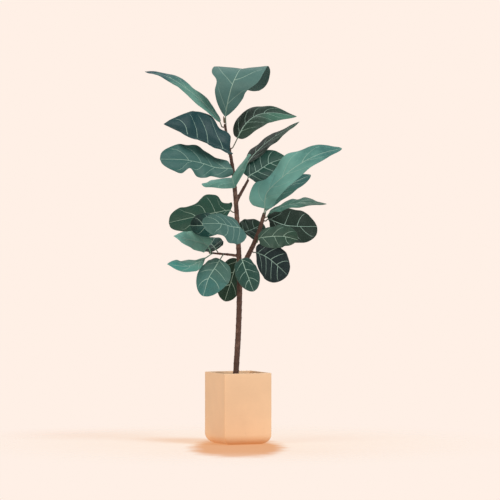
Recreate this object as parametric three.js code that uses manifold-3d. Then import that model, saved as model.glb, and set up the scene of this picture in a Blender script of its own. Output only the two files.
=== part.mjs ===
// A young fiddle leaf fig tree in a square glazed planter, as one assembly of separate solids.
//
// Millimetres, +Z up. The origin is the middle of the planter's underside, and the planter's sides
// lie along X and Y. The tree is set out in a frame of its own, turned in the planter by TREE_TURN:
// there -Y is the tree's front, +X its right and +Z up.

import * as THREE from "three";
import { mergeVertices } from "three/addons/utils/BufferGeometryUtils.js";
import Module from "manifold-3d";

const wasm = await Module();
wasm.setup();

// ---------------------------------------------------------------- driving dimensions

const CLEARANCE = 0.4; // between solids that meet without being one piece

const PLANTER = {
  width: 240,
  height: 335,
  wall: 9,
  floor: 12,
  cornerRadius: 5, // of the four upright edges
  footRadius: 45, // of the edge between the sides and the underside
  lipRadius: 2.5,
  drainDiameter: 14,
  drainSpacing: 84, // between neighbouring drain holes
};

const SOIL = {
  belowRim: 28, // from the rim down to the soil at the walls
  mound: 9, // rise of the soil towards the trunk
};

const TREE_TURN = THREE.MathUtils.degToRad(-23.5);

const PETIOLE = {
  diameter: 5.6,
  gap: 1, // left between the foot of each leaf stalk and the bark
  straight: 1.6, // diameters that a stalk runs on before it bends
};

const BLADE = {
  thickness: 1.7, // at the midrib
  edgeThickness: 1.0, // just inside the margin
  keel: 2.6, // how far the midrib stands below the underside at the blade's start
  keelTip: 0.65, // the same at the tip
  leastHalf: 3, // half width where the blade ends
};

const BUD = {
  length: 34,
  radius: 5.4,
  swell: [0.72, 0.95, 1, 0.86, 0.55, 0.16], // shares of the radius, from the foot to the tip
  point: 1, // height of the tip above the last of them
};

// ---------------------------------------------------------------- stem: trunk and branches

// Points that a limb passes through, with its radius at each. The first point of a branch lies
// inside the trunk that it grew from.
const LIMBS = {
  trunk: [
    { at: [-14, 0, 190], radius: 15 },
    { at: [-10, 0, 332], radius: 13.8 },
    { at: [0, 3, 500], radius: 13.4 },
    { at: [6, 5, 675], radius: 13.2 },
    { at: [7, 3, 800], radius: 13 },
    { at: [3, 0, 910], radius: 11.8 },
    { at: [-6, -3, 1075], radius: 11.2 },
    { at: [-15, -2, 1192], radius: 10.6 },
    { at: [-24, 2, 1286], radius: 9 },
    { at: [-36, 4, 1357], radius: 8 },
    { at: [-52, 2, 1440], radius: 7.2 },
    { at: [-62, 0, 1500], radius: 6.4 },
  ],
  right_branch: [
    { at: [6, 2, 800], radius: 12 },
    { at: [24, -6, 838], radius: 12.4 },
    { at: [47, -14, 884], radius: 12 },
    { at: [87, -22, 968], radius: 10.6 },
    { at: [110, -24, 1036], radius: 9.4 },
    { at: [122, -22, 1082], radius: 8 },
  ],
  upper_branch: [
    { at: [-11, -2, 1128], radius: 8 },
    { at: [6, 6, 1164], radius: 8 },
    { at: [24, 14, 1196], radius: 7.4 },
    { at: [47, 22, 1238], radius: 6 },
  ],
  left_branch: [
    { at: [5, 1, 880], radius: 7 },
    { at: [-22, 0, 886], radius: 6.6 },
    { at: [-80, -6, 892], radius: 5.6 },
    { at: [-136, -10, 897], radius: 4.8 },
  ],
};

// ---------------------------------------------------------------- leaves

// One entry for each leaf, in the tree's frame.
//   on, height, side  the limb that it grows from, how high, and the side that its stalk leaves:
//                     0 is the front, 90 the right, 180 the back
//   spine             the midrib's points: where the blade starts, how it bends, and its tip
//   upper             where the upper side faces, as [side, rise], at the blade's start and its tip
//   halves            greatest width of the left and of the right half, seen from above with the
//                     tip away
//   fold, droop       how steeply each half rises from the midrib, and how far they bend back down
//   peak, base, tip   where the blade is widest, and how it ends: 0.5 is round, less is square and
//                     1 is pointed
//   notches           where a margin is drawn in, as [half (1 left, -1 right), where, depth, spread]
//   ripple            height of the waves along the margin, how many, and where they start
const LEAVES = {
  leaf_crown_left: {
    on: "trunk", height: 1488, side: -100, color: "#5a8b80",
    spine: [[-84, -6, 1512], [-151, 0, 1590], [-245, 18, 1672], [-343, 48, 1730], [-439, 90, 1749]],
    upper: [[-10, 66], [10, 62]], halves: [42, 40], fold: [14, 14], droop: 26,
    peak: 0.45, base: 0.6, tip: 0.8, notches: [[1, 0.62, 0.3, 0.06]], ripple: [5, 3, 0.4],
  },
  leaf_crown_top: {
    on: "trunk", height: 1497, side: 20, color: "#4a7068",
    spine: [[-59, -32, 1536], [-42, -70, 1632], [-18, -78, 1706], [18, -24, 1762], [64, 50, 1728],
      [98, 84, 1660]],
    upper: [[-4, 8], [172, 42]], halves: [136, 124], fold: [6, 6], droop: 12,
    peak: 0.56, base: 0.72, tip: 0.5, ripple: [7, 3, 0.1],
    notches: [[1, 0.3, 0.3, 0.1], [-1, 0.3, 0.26, 0.1]],
  },
  leaf_upper_left: {
    on: "trunk", height: 1362, side: -40, color: "#33505a",
    spine: [[-40, -34, 1370], [-146, -80, 1414], [-231, -130, 1448], [-345, -185, 1500]],
    upper: [[0, 45], [0, 50]], halves: [90, 150], fold: [44, 34], droop: 24,
    peak: 0.46, base: 0.45, tip: 0.85, notches: [[-1, 0.2, 0.22, 0.09]], ripple: [6, 3, 0.2],
  },
  leaf_upper_left_low: {
    on: "trunk", height: 1284, side: -15, color: "#4c7069",
    spine: [[-28, -36, 1292], [-104, -84, 1298], [-172, -136, 1320], [-254, -188, 1335], [-361, -236, 1338]],
    upper: [[0, 30], [0, 20]], halves: [76, 84], fold: [6, 6], droop: 14,
    peak: 0.6, base: 0.26, tip: 0.42, ripple: [7, 4, 0.1],
    notches: [[1, 0.66, 0.5, 0.06], [1, 0.3, 0.3, 0.05], [-1, 0.3, 0.22, 0.12]],
  },
  leaf_upper_right: {
    on: "trunk", height: 1385, side: 100, color: "#3a4c3e",
    spine: [[-3, 10, 1436], [32, 40, 1498], [84, 88, 1542], [159, 148, 1556], [277, 205, 1539]],
    upper: [[0, 30], [0, 40]], halves: [57, 68], fold: [8, 8], droop: 20,
    peak: 0.46, base: 0.45, tip: 0.75, notches: [[1, 0.45, 0.12, 0.06]], ripple: [5, 3, 0.5],
  },
  leaf_upper_right_back: {
    on: "trunk", height: 1250, side: 120, color: "#2f3c3c",
    spine: [[44, 50, 1318], [78, 100, 1362], [135, 160, 1416], [211, 222, 1468], [291, 280, 1514]],
    upper: [[0, 80], [0, 80]], halves: [42, 46], fold: [8, 8], droop: 20,
    peak: 0.45, base: 0.6, tip: 0.9, notches: [], ripple: [5, 3, 0],
  },
  leaf_mid_right_round: {
    on: "upper_branch", height: 1222, side: 160, color: "#33554a",
    spine: [[48, 46, 1252], [94, 74, 1282], [150, 124, 1317], [228, 186, 1344]],
    upper: [[10, 15], [10, 30]], halves: [84, 84], fold: [6, 6], droop: 16,
    peak: 0.5, base: 0.35, tip: 0.5, notches: [], ripple: [5, 3, 0.3],
  },
  leaf_right_long: {
    on: "right_branch", height: 1078, side: 0, color: "#64908a",
    spine: [[125, -46, 1106], [132, -66, 1174], [184, -84, 1232], [280, -94, 1309], [386, -84, 1363],
      [486, -50, 1387]],
    upper: [[-10, 20], [0, 45]], halves: [90, 62], fold: [8, 8], droop: 18,
    peak: 0.34, base: 0.5, tip: 0.55, notches: [[1, 0.36, 0.55, 0.1]], ripple: [7, 4, 0.6],
  },
  leaf_right_behind: {
    on: "right_branch", height: 1060, side: 150, color: "#38605a",
    spine: [[130, 2, 1092], [173, 60, 1155], [244, 130, 1215], [343, 210, 1262]],
    upper: [[10, 50], [10, 50]], halves: [50, 46], fold: [8, 8], droop: 20,
    peak: 0.6, base: 0.6, tip: 0.6, notches: [], ripple: [5, 3, 0.2],
  },
  leaf_right_narrow: {
    on: "right_branch", height: 1066, side: 70, color: "#567d6f",
    spine: [[146, -30, 1084], [211, -66, 1116], [291, -110, 1134], [413, -150, 1128]],
    upper: [[0, 60], [0, 60]], halves: [54, 46], fold: [10, 10], droop: 24,
    peak: 0.5, base: 0.7, tip: 0.85, notches: [], ripple: [6, 3, 0.7],
  },
  leaf_mid_front: {
    on: "trunk", height: 1240, side: 0, color: "#5a9079",
    spine: [[-30, -45, 1250], [-27, -130, 1246], [-22, -220, 1234], [-14, -335, 1206]],
    upper: [[-90, 52], [-90, 52]], halves: [146, 146], fold: [22, 34], droop: 8,
    peak: 0.55, base: 0.6, tip: 0.6, notches: [], ripple: [4, 3, 0.7],
  },
  leaf_left_large: {
    on: "trunk", height: 1088, side: -60, color: "#335040",
    spine: [[-36, -10, 1096], [-113, 50, 1084], [-198, 110, 1066], [-328, 180, 1035]],
    upper: [[0, 30], [0, 20]], halves: [84, 104], fold: [6, 6], droop: 14,
    peak: 0.45, base: 0.5, tip: 0.38, ripple: [8, 4, 0.2],
    notches: [[-1, 0.18, 0.5, 0.12], [-1, 0.74, 0.42, 0.08]],
  },
  leaf_centre_front: {
    on: "trunk", height: 1006, side: 30, color: "#52736b",
    spine: [[14, -46, 1014], [-30, -90, 1022], [-84, -160, 1037], [-164, -232, 1038]],
    upper: [[0, 30], [0, 20]], halves: [96, 58], fold: [6, 6], droop: 14,
    peak: 0.45, base: 0.28, tip: 0.4, notches: [[1, 0.74, 0.35, 0.09]], ripple: [5, 4, 0.2],
  },
  leaf_left_inner: {
    on: "trunk", height: 1020, side: -50, color: "#1b3d37",
    spine: [[-43, -30, 1033], [-132, -60, 1028], [-222, -82, 1026]],
    upper: [[0, 20], [0, 10]], halves: [56, 60], fold: [6, 6], droop: 14,
    peak: 0.6, base: 0.5, tip: 0.45, notches: [], ripple: [4, 3, 0.6],
  },
  leaf_branch_left_up: {
    on: "left_branch", height: 896.4, side: -20, color: "#5c8f86",
    spine: [[-139, -30, 928], [-193, -76, 951], [-245, -124, 965], [-299, -176, 979]],
    upper: [[0, 20], [0, 30]], halves: [46, 50], fold: [8, 8], droop: 20,
    peak: 0.34, base: 0.2, tip: 0.85, notches: [], ripple: [4, 3, 0.1],
  },
  leaf_branch_behind: {
    on: "left_branch", height: 893, side: 160, color: "#233a3a",
    spine: [[-102, 16, 910], [-118, 54, 929], [-148, 124, 962]],
    upper: [[0, 20], [0, 20]], halves: [54, 54], fold: [6, 6], droop: 16,
    peak: 0.55, base: 0.4, tip: 0.5, notches: [], ripple: [4, 3, 0.1],
  },
  leaf_branch_left_down: {
    on: "left_branch", height: 895.5, side: 0, color: "#568f80",
    spine: [[-147, -28, 878], [-182, -70, 858], [-236, -124, 838], [-329, -180, 848]],
    upper: [[0, 60], [0, 50]], halves: [50, 54], fold: [8, 8], droop: 20,
    peak: 0.66, base: 0.9, tip: 0.8, notches: [], ripple: [4, 3, 0.8],
  },
  leaf_low_left_front: {
    on: "left_branch", height: 891, side: 0, color: "#4a7a6c",
    spine: [[-84, -38, 868], [-110, -84, 826], [-138, -130, 780], [-162, -178, 700]],
    upper: [[0, 20], [0, 20]], halves: [94, 58], fold: [6, 6], droop: 14,
    peak: 0.55, base: 0.32, tip: 0.48, notches: [], ripple: [4, 4, 0.3],
  },
  leaf_low_back: {
    on: "trunk", height: 886, side: 180, color: "#1f3a2c",
    spine: [[-4, 42, 868], [-26, 92, 784], [-64, 160, 664]],
    upper: [[0, 20], [0, 20]], halves: [58, 72], fold: [6, 6], droop: 14,
    peak: 0.58, base: 0.4, tip: 0.5, notches: [], ripple: [5, 3, 0.3],
  },
  leaf_low_centre: {
    on: "trunk", height: 862, side: 0, color: "#33564a",
    spine: [[16, -46, 868], [34, -96, 822], [52, -140, 776], [72, -176, 722]],
    upper: [[0, 20], [0, 20]], halves: [56, 54], fold: [6, 6], droop: 14,
    peak: 0.5, base: 0.34, tip: 0.48, notches: [], ripple: [4, 4, 0.5],
  },
  leaf_right_low_dark: {
    on: "right_branch", height: 906, side: 110, color: "#2c3438",
    spine: [[84, 16, 898], [134, 48, 876], [186, 92, 834], [234, 136, 788]],
    upper: [[0, 20], [0, 20]], halves: [80, 92], fold: [6, 6], droop: 14,
    peak: 0.55, base: 0.3, tip: 0.48, notches: [], ripple: [5, 3, 0.9],
  },
  leaf_right_mid: {
    on: "right_branch", height: 950, side: 40, color: "#3c5549",
    spine: [[96, -56, 964], [158, -104, 976], [220, -150, 976], [276, -188, 962]],
    upper: [[0, 20], [0, 20]], halves: [56, 60], fold: [6, 6], droop: 14,
    peak: 0.5, base: 0.4, tip: 0.48, notches: [], ripple: [5, 4, 0.1],
  },
  leaf_right_large_dark: {
    on: "right_branch", height: 1050, side: 110, color: "#213a30",
    spine: [[141, 4, 1055], [216, 60, 1027], [291, 124, 1019], [373, 186, 1017]],
    upper: [[0, 20], [0, 20]], halves: [91, 86], fold: [6, 6], droop: 14,
    peak: 0.58, base: 0.4, tip: 0.46, notches: [], ripple: [6, 3, 0.4],
  },
  leaf_centre_back: {
    on: "trunk", height: 968, side: 150, color: "#24382e",
    spine: [[26, 38, 990], [65, 100, 1005], [118, 176, 1030]],
    upper: [[0, 20], [0, 20]], halves: [64, 66], fold: [6, 6], droop: 14,
    peak: 0.5, base: 0.36, tip: 0.5, notches: [], ripple: [4, 3, 0.2],
  },
};

// ---------------------------------------------------------------- shared geometry

// Turns a closed geometry into a solid for joining and cutting.
function toSolid(geometry) {
  const plain = geometry.clone();
  plain.deleteAttribute("normal");
  plain.deleteAttribute("uv");
  const merged = mergeVertices(plain);
  const vertProperties = new Float32Array(merged.attributes.position.array);
  const triVerts = new Uint32Array(merged.index.array);
  return new wasm.Manifold(new wasm.Mesh({ numProp: 3, vertProperties, triVerts }));
}

function toGeometry(solid) {
  const { vertProperties, triVerts } = solid.getMesh();
  const geometry = new THREE.BufferGeometry();
  geometry.setAttribute("position", new THREE.BufferAttribute(vertProperties, 3));
  geometry.setIndex(new THREE.BufferAttribute(triVerts, 1));
  geometry.computeVertexNormals();
  return geometry;
}

// A closed tube of rings. A cylinder is reshaped: corner(ring, side) places each ring's corners
// and centre(ring) the middle of the two end caps. Sides run from the ring's top towards its right.
// The fields between two rings are cut along one diagonal on the upper half and along the other on
// the lower half, so that the two skins of a flat tube bend alike.
function loft(rings, sides, corner, centre) {
  const spans = rings - 1;
  const geometry = new THREE.CylinderGeometry(1, 1, spans, sides, spans);
  const position = geometry.attributes.position;
  const sideOf = [];
  for (let i = 0; i < position.count; i++) {
    const [x, y, z] = [position.getX(i), position.getY(i), position.getZ(i)];
    const ring = Math.round(y + spans / 2);
    const turn = Math.atan2(x, z) / (2 * Math.PI);
    const side = (Math.round(turn * sides) + sides) % sides;
    sideOf.push(side);
    const point = Math.hypot(x, z) < 0.5 ? centre(ring) : corner(ring, side);
    position.setXYZ(i, point.x, point.y, point.z);
  }
  // The cylinder's fields come first in its index, each as the triangles a b d and b c d.
  const index = geometry.index;
  for (let first = 0; first < spans * sides * 6; first += 6) {
    const [a, b, d, c] = [0, 1, 2, 4].map((i) => index.getX(first + i));
    const middle = sideOf[a] + 0.5;
    if (middle > sides / 4 && middle < (3 * sides) / 4) {
      [a, b, c, a, c, d].forEach((vertex, i) => index.setX(first + i, vertex));
    }
  }
  geometry.deleteAttribute("normal");
  geometry.deleteAttribute("uv");
  const closed = mergeVertices(geometry);
  closed.computeVertexNormals();
  return closed;
}

const blend = (a, b, t) => a + (b - a) * t;

const vector = (point) => new THREE.Vector3(...point);

// The direction that faces a side of the tree (0 front, 90 right) at a rise above the horizontal.
function facing(side, rise) {
  const [s, r] = [THREE.MathUtils.degToRad(side), THREE.MathUtils.degToRad(rise)];
  return new THREE.Vector3(Math.sin(s) * Math.cos(r), -Math.cos(s) * Math.cos(r), Math.sin(r));
}

const turned = (direction, axis, degrees) =>
  direction.clone().applyAxisAngle(axis, THREE.MathUtils.degToRad(degrees));

// ---------------------------------------------------------------- limbs

// A smooth limb: place(t) and radius(t) for t from 0 at its first point to 1 at its last.
function limb(points) {
  const path = new THREE.CatmullRomCurve3(points.map((p) => vector(p.at)), false, "centripetal");
  const last = points.length - 1;
  const radius = (t) => {
    const i = Math.min(Math.floor(t * last), last - 1);
    return blend(points[i].radius, points[i + 1].radius, t * last - i);
  };
  return { place: (t) => path.getPoint(t), along: (t) => path.getTangent(t), radius };
}

const HALVINGS = 40;

// Where a limb passes a height, found by halving.
function atHeight(shape, height) {
  let [low, high] = [0, 1];
  for (let i = 0; i < HALVINGS; i++) {
    const middle = (low + high) / 2;
    if (shape.place(middle).z < height) low = middle;
    else high = middle;
  }
  return (low + high) / 2;
}

const LIMB_SIDES = 12;
const LIMB_SPANS = { trunk: 34, right_branch: 12, upper_branch: 7, left_branch: 8 };
// The rounding of a limb's far end: its rings, how far round they go, and its length as a share of
// the radius.
const LIMB_END = { rings: 2, turn: THREE.MathUtils.degToRad(70), length: 0.7 };

// The limb's solid, grown outwards by extra.
function limbGeometry(shape, spans, extra = 0) {
  const reference = facing(0, 0);
  const rings = spans + 1 + LIMB_END.rings;
  const section = (ring) => {
    const t = Math.min(ring / spans, 1);
    const over = (LIMB_END.turn * Math.max(ring - spans, 0)) / LIMB_END.rings;
    const radius = shape.radius(t) + extra;
    const along = shape.along(t);
    const beyond = ring === 0 ? -extra : radius * LIMB_END.length * Math.sin(over);
    const middle = shape.place(t).addScaledVector(along, beyond);
    const front = reference.clone().addScaledVector(along, -reference.dot(along)).normalize();
    return { middle, along, front, radius: radius * Math.cos(over) };
  };
  const corner = (ring, side) => {
    const { middle, along, front, radius } = section(ring);
    return middle.addScaledVector(turned(front, along, (360 * side) / LIMB_SIDES), radius);
  };
  return loft(rings, LIMB_SIDES, corner, (ring) => section(ring).middle);
}

const limbs = Object.fromEntries(
  Object.entries(LIMBS).map(([name, points]) => [name, limb(points)]),
);

function stemGeometry() {
  const [first, ...others] = Object.keys(LIMBS)
    .map((name) => toSolid(limbGeometry(limbs[name], LIMB_SPANS[name])));
  return toGeometry(others.reduce((whole, branch) => whole.add(branch), first));
}

// ---------------------------------------------------------------- leaves

const STALK_RINGS = 4;
const BLADE_RINGS = 13;
// A ring's corners: the upper side's middle, then round by the right rim, the underside and the
// left rim.
const LEAF_SIDES = 12;
const RIGHT_RIM = LEAF_SIDES / 4;
const UNDER_MIDDLE = LEAF_SIDES / 2;
const LEFT_RIM = UNDER_MIDDLE + RIGHT_RIM;
// How far from the midrib the corners from the middle to a rim lie, as shares of the half width.
const ACROSS = [0, 0.36, 0.72, 1];
// How far the left margin's waves run ahead of the right margin's, as a share of a wave.
const WAVE_LEAD = 0.37;

// A half's width along the blade, from 0 at both ends to about 1 where it is widest.
function outline(leaf, half, b) {
  const sweep = Math.log(0.5) / Math.log(leaf.peak);
  const swell = Math.max(Math.sin(Math.PI * b ** sweep), 0);
  const full = swell ** blend(leaf.base, leaf.tip, b);
  const narrowed = (width, [, where, depth, spread]) =>
    width * (1 - depth * Math.exp(-(((b - where) / spread) ** 2)));
  return leaf.notches.filter(([side]) => side === half).reduce(narrowed, full);
}

// For each place along a leaf, from 0 at the foot of its stalk to 1 at its tip, the frame that the
// section there stands in. stalk is the place where the blade starts.
function leafFrame(leaf) {
  const stem = limbs[leaf.on];
  const t = atHeight(stem, leaf.height);
  const out = facing(leaf.side, 0);
  const along = stem.along(t);
  out.addScaledVector(along, -out.dot(along)).normalize();
  const bark = stem.place(t).addScaledVector(out, stem.radius(t));
  const lead = vector(leaf.spine[0]).sub(bark).normalize().add(out).normalize();
  const tilt = Math.sin(lead.angleTo(out));
  const foot = bark.addScaledVector(out, PETIOLE.gap + (tilt * PETIOLE.diameter) / 2);
  const lifted = foot.clone().addScaledVector(lead, PETIOLE.diameter * PETIOLE.straight);
  const spine = [foot, lifted, ...leaf.spine.map(vector)];
  const path = new THREE.CatmullRomCurve3(spine, false, "centripetal");
  const stalk = 2 / (spine.length - 1);
  const [faceStart, faceTip] = leaf.upper.map(([side, rise]) => facing(side, rise));
  const upperAt = (u, tangent) => {
    const face = faceStart.clone().lerp(faceTip, (u - stalk) / (1 - stalk));
    return face.addScaledVector(tangent, -face.dot(tangent)).normalize();
  };
  // The stalk bends without twisting: its upper side follows from the blade's where they meet.
  const join = path.getTangent(stalk);
  const swung = (tangent) => new THREE.Quaternion().setFromUnitVectors(join, tangent);
  return (place) => {
    const u = Math.min(place, 1);
    const tangent = path.getTangent(u);
    const upper = u < stalk ? upperAt(stalk, join).applyQuaternion(swung(tangent)) : upperAt(u, tangent);
    const left = upper.clone().cross(tangent);
    return { middle: path.getPoint(u), tangent, upper, left, stalk };
  };
}

function leafGeometry(leaf) {
  const frameAt = leafFrame(leaf);
  const { stalk } = frameAt(0);
  const rings = STALK_RINGS + BLADE_RINGS;
  // The rings crowd towards both ends of the blade, where its outline turns fastest.
  const bladeShare = (ring) => {
    const step = (ring - STALK_RINGS + 1) / BLADE_RINGS;
    return 0.5 - 0.5 * Math.cos(Math.PI * step);
  };
  const place = (ring) =>
    ring < STALK_RINGS ? (stalk * ring) / STALK_RINGS : blend(stalk, 1, bladeShare(ring));
  const stalkCorner = (frame, side, radius) => {
    const direction = turned(frame.upper, frame.tangent, (360 * side) / LEAF_SIDES);
    return frame.middle.clone().addScaledVector(direction, radius);
  };
  const bladeCorner = (frame, side, b) => {
    const across = ACROSS[RIGHT_RIM - Math.abs((side % UNDER_MIDDLE) - RIGHT_RIM)];
    const isLeft = side > UNDER_MIDDLE;
    const isUnder = side > RIGHT_RIM && side < LEFT_RIM;
    const half = isLeft ? 0 : 1;
    const reach = Math.max(outline(leaf, isLeft ? 1 : -1, b) * leaf.halves[half], BLADE.leastHalf);
    const outward = isLeft ? frame.left : frame.left.clone().negate();
    const bend = THREE.MathUtils.degToRad(leaf.fold[half] - leaf.droop * across * 0.5);
    const lean = THREE.MathUtils.degToRad(leaf.fold[half] - leaf.droop * across);
    const point = frame.middle.clone()
      .addScaledVector(outward, Math.cos(bend) * reach * across)
      .addScaledVector(frame.upper, Math.sin(bend) * reach * across);
    const normal = frame.upper.clone().multiplyScalar(Math.cos(lean))
      .addScaledVector(outward, -Math.sin(lean));
    const [height, waves, start] = leaf.ripple;
    const phase = 2 * Math.PI * (b * waves + start + (isLeft ? WAVE_LEAD : 0));
    const wave = height * across ** 2 * Math.sin(phase) * Math.sin(Math.PI * b) ** 0.5;
    const skin = across === 1 ? 0 : blend(BLADE.thickness, BLADE.edgeThickness, across) / 2;
    const keel = isUnder && across === 0 ? blend(BLADE.keel, BLADE.keelTip, b) : 0;
    return point.addScaledVector(normal, wave + (isUnder ? -skin - keel : skin));
  };
  const corner = (ring, side) => {
    const u = place(ring);
    const frame = frameAt(u);
    if (ring < STALK_RINGS) return stalkCorner(frame, side, PETIOLE.diameter / 2);
    return bladeCorner(frame, side, bladeShare(ring));
  };
  return loft(rings, LEAF_SIDES, corner, (ring) => frameAt(place(ring)).middle);
}

// ---------------------------------------------------------------- planter and soil

const CORNER_STEPS = 4;
const PER_SIDE = CORNER_STEPS + 2;
const SQUARE_COLUMNS = 4 * PER_SIDE;
const FOOT_STEPS = 7;
const LIP_STEPS = 3;
const DRAIN_SIDES = 20;

// The corners of a square of a half width, with rounded corners, counted round from +X.
function squarePoint(half, radius, column) {
  const quarter = Math.floor(column / PER_SIDE);
  const step = column % PER_SIDE;
  const round = Math.min(radius, half);
  const flat = half - round;
  const angle = ((step - 1) / CORNER_STEPS) * (Math.PI / 2);
  const local = step === 0
    ? new THREE.Vector2(half, 0)
    : new THREE.Vector2(flat + round * Math.cos(angle), flat + round * Math.sin(angle));
  return local.rotateAround(new THREE.Vector2(), (quarter * Math.PI) / 2);
}

// A solid whose level sections are rounded squares: a lathed profile whose circles are made square.
function squareTurned(profile, radius) {
  const geometry = new THREE.LatheGeometry(profile, SQUARE_COLUMNS);
  const position = geometry.attributes.position;
  for (let i = 0; i < position.count; i++) {
    const [x, y, z] = [position.getX(i), position.getY(i), position.getZ(i)];
    const half = Math.hypot(x, z);
    const turn = Math.atan2(x, z) / (2 * Math.PI);
    const column = (Math.round(turn * SQUARE_COLUMNS) + SQUARE_COLUMNS) % SQUARE_COLUMNS;
    const point = squarePoint(half, radius, column);
    position.setXYZ(i, point.x, point.y, y);
  }
  return geometry;
}

// Points of a quarter circle in a profile, from one angle to another.
function arc(centre, radius, from, to, steps) {
  return Array.from({ length: steps + 1 }, (_, i) => {
    const angle = THREE.MathUtils.degToRad(blend(from, to, i / steps));
    return new THREE.Vector2(centre[0] + radius * Math.cos(angle), centre[1] + radius * Math.sin(angle));
  });
}

const planterHalf = PLANTER.width / 2;
const innerHalf = planterHalf - PLANTER.wall;
const innerFoot = PLANTER.footRadius - PLANTER.wall;
const soilLevel = PLANTER.height - SOIL.belowRim;
// Shares of the soil's half width, from the wall to the middle, where its mounded top has rings.
const SOIL_RINGS = [1, 0.82, 0.6, 0.36, 0.16, 0];

function planterGeometry() {
  const { height, footRadius, lipRadius, floor, drainDiameter, drainSpacing, cornerRadius } = PLANTER;
  const outside = [
    new THREE.Vector2(0, 0),
    ...arc([planterHalf - footRadius, footRadius], footRadius, -90, 0, FOOT_STEPS),
    ...arc([planterHalf - lipRadius, height - lipRadius], lipRadius, 0, 90, LIP_STEPS),
  ];
  const inside = [
    ...arc([innerHalf + lipRadius, height - lipRadius], lipRadius, 90, 180, LIP_STEPS),
    ...arc([innerHalf - innerFoot, floor + innerFoot], innerFoot, 0, -90, FOOT_STEPS),
    new THREE.Vector2(0, floor),
  ];
  const shell = toSolid(squareTurned([...outside, ...inside], cornerRadius));
  const drain = new THREE.CylinderGeometry(drainDiameter / 2, drainDiameter / 2, 3 * floor, DRAIN_SIDES);
  drain.rotateX(Math.PI / 2);
  const drains = [-1, 1].flatMap((x) => [-1, 1].map((y) =>
    toSolid(drain.clone().translate((x * drainSpacing) / 2, (y * drainSpacing) / 2, 0))));
  return toGeometry(drains.reduce((pot, hole) => pot.subtract(hole), shell));
}

function soilGeometry() {
  const half = innerHalf - CLEARANCE;
  const foot = innerFoot - CLEARANCE;
  const bottom = PLANTER.floor + CLEARANCE;
  const top = SOIL_RINGS.map((share) =>
    new THREE.Vector2(half * share, soilLevel + SOIL.mound * (1 - share ** 2)));
  const profile = [
    new THREE.Vector2(0, bottom),
    ...arc([half - foot, bottom + foot], foot, -90, 0, FOOT_STEPS),
    ...top,
  ];
  const body = toSolid(squareTurned(profile, PLANTER.cornerRadius));
  const socket = limbGeometry(limbs.trunk, LIMB_SPANS.trunk, CLEARANCE);
  socket.rotateZ(TREE_TURN);
  return toGeometry(body.subtract(toSolid(socket)));
}

// ---------------------------------------------------------------- terminal bud

const BUD_SIDES = 10;

// The pointed sheath round the youngest leaf, standing on the trunk's tip.
function budGeometry() {
  const tip = limbs.trunk.place(1);
  const along = limbs.trunk.along(1);
  const start = tip.addScaledVector(along, limbs.trunk.radius(1) * LIMB_END.length + PETIOLE.gap);
  const steps = BUD.swell.length - 1;
  const profile = BUD.swell.map((share, i) =>
    new THREE.Vector2(share * BUD.radius, (i / steps) * BUD.length));
  const closed = [new THREE.Vector2(0, 0), ...profile, new THREE.Vector2(0, BUD.length + BUD.point)];
  const geometry = new THREE.LatheGeometry(closed, BUD_SIDES);
  const upright = new THREE.Vector3(0, 1, 0);
  geometry.applyQuaternion(new THREE.Quaternion().setFromUnitVectors(upright, along));
  return geometry.translate(start.x, start.y, start.z);
}

// ---------------------------------------------------------------- assembly

function mesh(name, geometry, color, roughness) {
  const material = new THREE.MeshStandardMaterial({ color, roughness, metalness: 0 });
  const made = new THREE.Mesh(geometry, material);
  made.name = name;
  return made;
}

const tree = new THREE.Group();
tree.rotation.z = TREE_TURN;
tree.add(mesh("stem", stemGeometry(), "#5b4337", 0.8));
tree.add(mesh("terminal_bud", budGeometry(), "#6a5a3c", 0.6));
for (const [name, leaf] of Object.entries(LEAVES)) {
  tree.add(mesh(name, leafGeometry(leaf), leaf.color, 0.5));
}

const plant = new THREE.Group();
plant.name = "potted_fiddle_leaf_fig";
plant.add(mesh("planter", planterGeometry(), "#efc69e", 0.45));
plant.add(mesh("potting_soil", soilGeometry(), "#3b2a20", 0.95));
plant.add(tree);

export default plant;
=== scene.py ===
"""A potted fiddle leaf fig: leaves, stem, soil and ceramic planter, laid out as a Blender add-on."""

import math
import random

import bmesh
import bpy
import numpy as np
from mathutils import Matrix, Vector, noise


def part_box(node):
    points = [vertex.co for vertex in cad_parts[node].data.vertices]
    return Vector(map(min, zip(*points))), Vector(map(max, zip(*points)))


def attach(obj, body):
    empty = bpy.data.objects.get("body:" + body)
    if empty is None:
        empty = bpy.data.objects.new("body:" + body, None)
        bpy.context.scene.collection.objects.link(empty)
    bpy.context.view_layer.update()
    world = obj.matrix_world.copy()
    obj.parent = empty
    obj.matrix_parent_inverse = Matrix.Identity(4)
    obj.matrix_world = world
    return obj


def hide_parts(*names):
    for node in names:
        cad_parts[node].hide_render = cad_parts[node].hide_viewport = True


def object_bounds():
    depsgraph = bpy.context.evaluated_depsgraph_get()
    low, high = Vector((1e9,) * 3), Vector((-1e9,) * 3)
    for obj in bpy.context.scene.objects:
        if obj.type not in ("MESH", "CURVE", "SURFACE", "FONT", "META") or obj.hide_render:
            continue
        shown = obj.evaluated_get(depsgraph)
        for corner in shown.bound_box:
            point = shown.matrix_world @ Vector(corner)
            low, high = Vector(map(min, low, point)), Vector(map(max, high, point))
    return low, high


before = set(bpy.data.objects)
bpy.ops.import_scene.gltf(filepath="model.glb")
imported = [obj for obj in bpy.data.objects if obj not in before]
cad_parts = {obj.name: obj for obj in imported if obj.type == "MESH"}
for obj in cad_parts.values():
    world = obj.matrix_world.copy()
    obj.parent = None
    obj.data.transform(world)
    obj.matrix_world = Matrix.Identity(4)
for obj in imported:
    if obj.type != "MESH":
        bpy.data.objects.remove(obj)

bl_info = {
    "name": "Potted Fiddle Leaf Fig",
    "version": (1, 0, 0),
    "blender": (4, 5, 0),
    "location": "View3D > Sidebar > Fig",
    "description": "Finishes a potted fiddle leaf fig: leaves, stem, soil, planter and stage",
    "category": "Object",
}

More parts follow.
